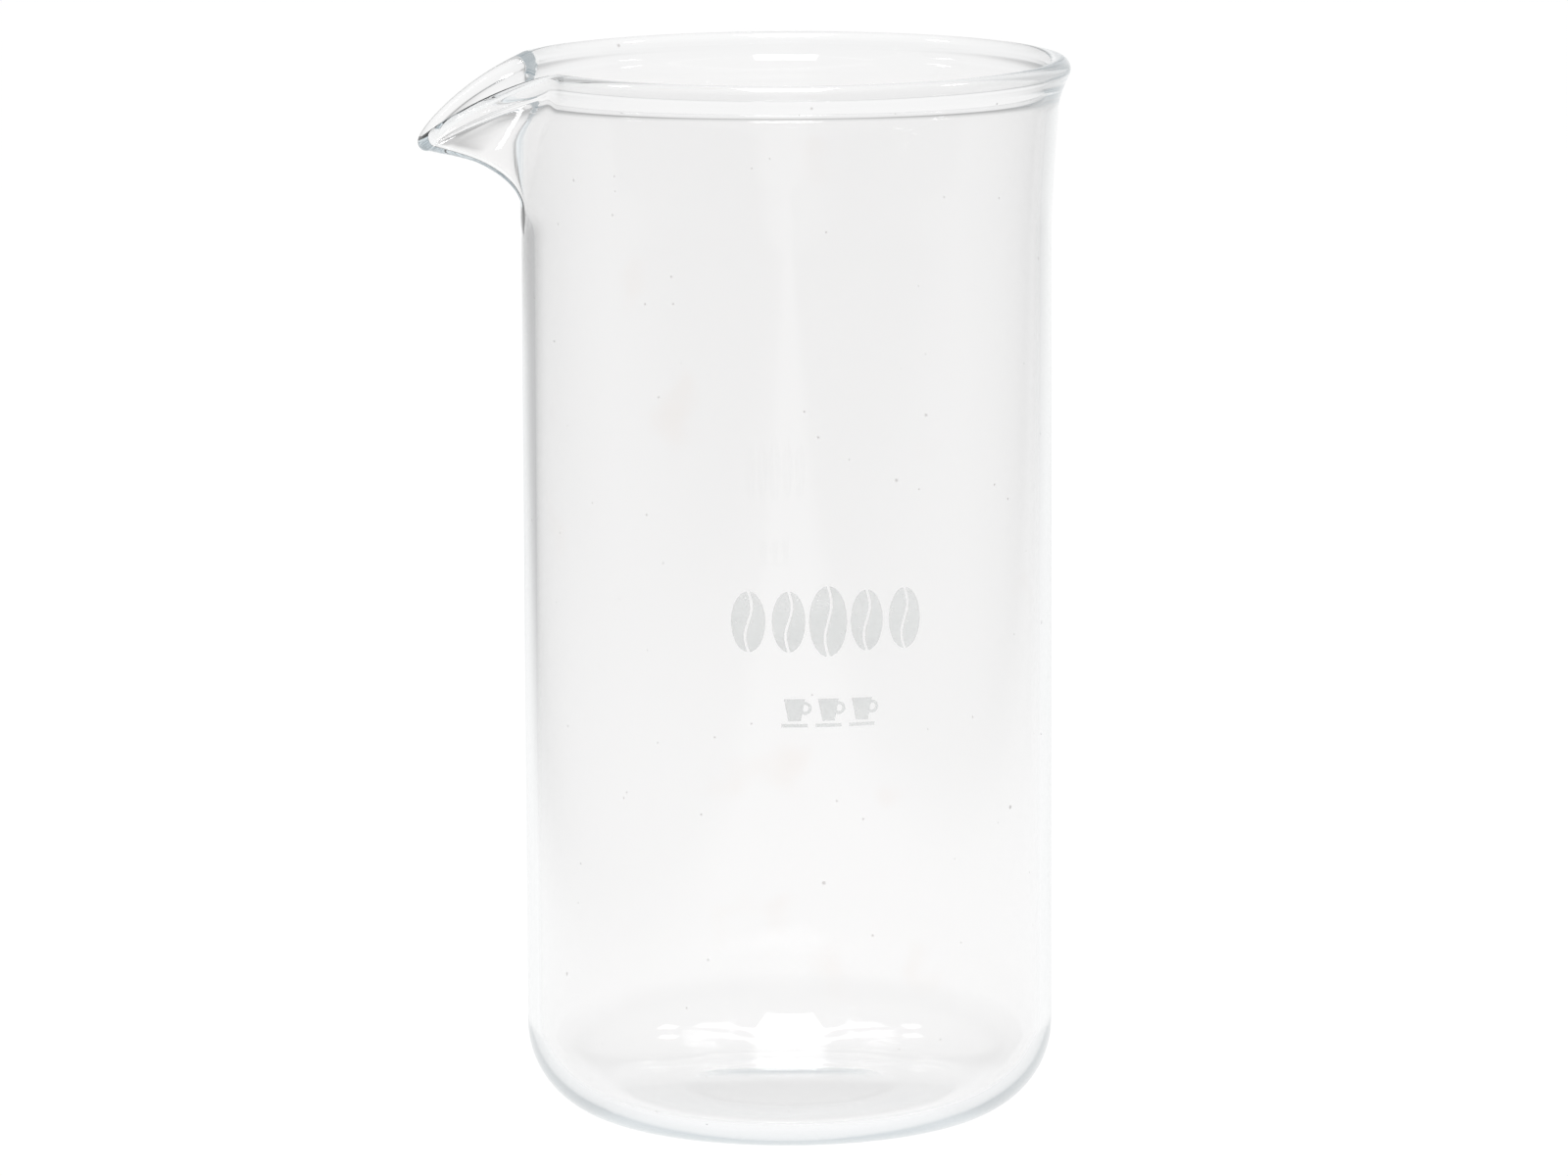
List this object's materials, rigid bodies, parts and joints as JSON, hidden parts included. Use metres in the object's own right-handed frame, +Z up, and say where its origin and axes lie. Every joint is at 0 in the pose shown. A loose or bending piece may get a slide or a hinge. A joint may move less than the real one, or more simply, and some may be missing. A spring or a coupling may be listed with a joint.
{
  "type": "beaker",
  "caption": "Tall clear glass beaker with a rounded heel, a beaded rim and a pinched pouring spout, with pale fired-enamel prints on its front; holds coffee in a press.",
  "frame": {"origin": "on the vessel's axis, at the plane of the resting ring under the base", "axes": "+Z up along the axis to the mouth, -X towards the pouring spout, -Y towards the prints"},
  "size_m": [0.0862, 0.075, 0.141],
  "materials": {
    "clear_glass": "clear fire-polished borosilicate glass with a faint cool tint",
    "fired_enamel": "pale grey fired vitreous enamel, satin and slightly see-through"
  },
  "bodies": {
    "root": {"glass_vessel": "clear_glass", "printed_emblem": "fired_enamel", "printed_cup_mark": "fired_enamel"}
  },
  "joints": []
}
